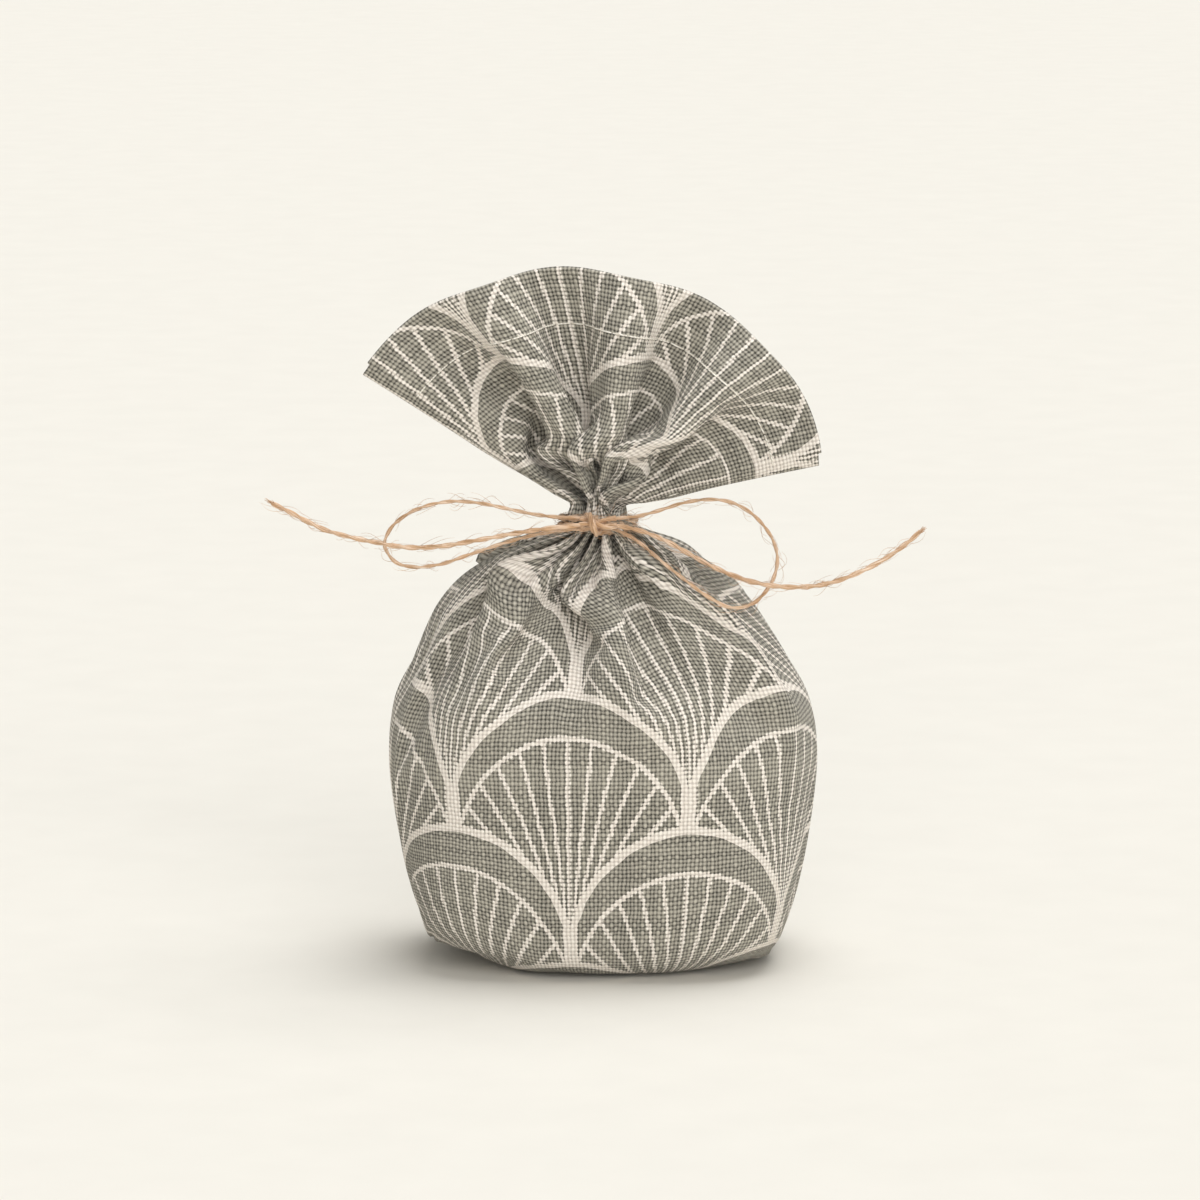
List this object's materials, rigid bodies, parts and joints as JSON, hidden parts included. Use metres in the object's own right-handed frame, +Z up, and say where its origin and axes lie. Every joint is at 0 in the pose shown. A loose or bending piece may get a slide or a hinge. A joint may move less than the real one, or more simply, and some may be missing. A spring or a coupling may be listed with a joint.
{
  "type": "drawstring pouch",
  "caption": "Filled cloth pouch with a hemmed mouth, gathered at the neck and tied with a jute twine bow whose ends pull out to untie it.",
  "frame": {"origin": "centre of the base, on the surface that the pouch stands on", "axes": "+Z up, -Y towards the front with the bow, +X to the viewer's right"},
  "size_m": [0.1285, 0.0632, 0.1412],
  "materials": {
    "canvas": "printed half-panama cotton, matt",
    "thread": "spun sewing thread",
    "jute": "hairy two-strand twine",
    "fibrefill": "loose fibre"
  },
  "bodies": {
    "pouch": {"front_panel": "canvas", "back_panel": "canvas", "front_hem_stitch": "thread", "back_hem_stitch": "thread", "seam_allowance": "canvas", "seam_stitch": "thread", "filling": "fibrefill", "twine_wrap": "jute", "bow_knot": "jute", "left_loop": "jute", "right_loop": "jute"},
    "left_tail": {"left_tail": "jute"},
    "right_tail": {"right_tail": "jute"}
  },
  "joints": [
    {"name": "left_tail_pull", "type": "slide", "parent": "pouch", "child": "left_tail", "axis": [-1, 0, 0], "range_m": [0, 0.03], "deforming": ["right_loop"]},
    {"name": "right_tail_pull", "type": "slide", "parent": "pouch", "child": "right_tail", "axis": [1, 0, 0], "range_m": [0, 0.03], "deforming": ["left_loop"]}
  ]
}
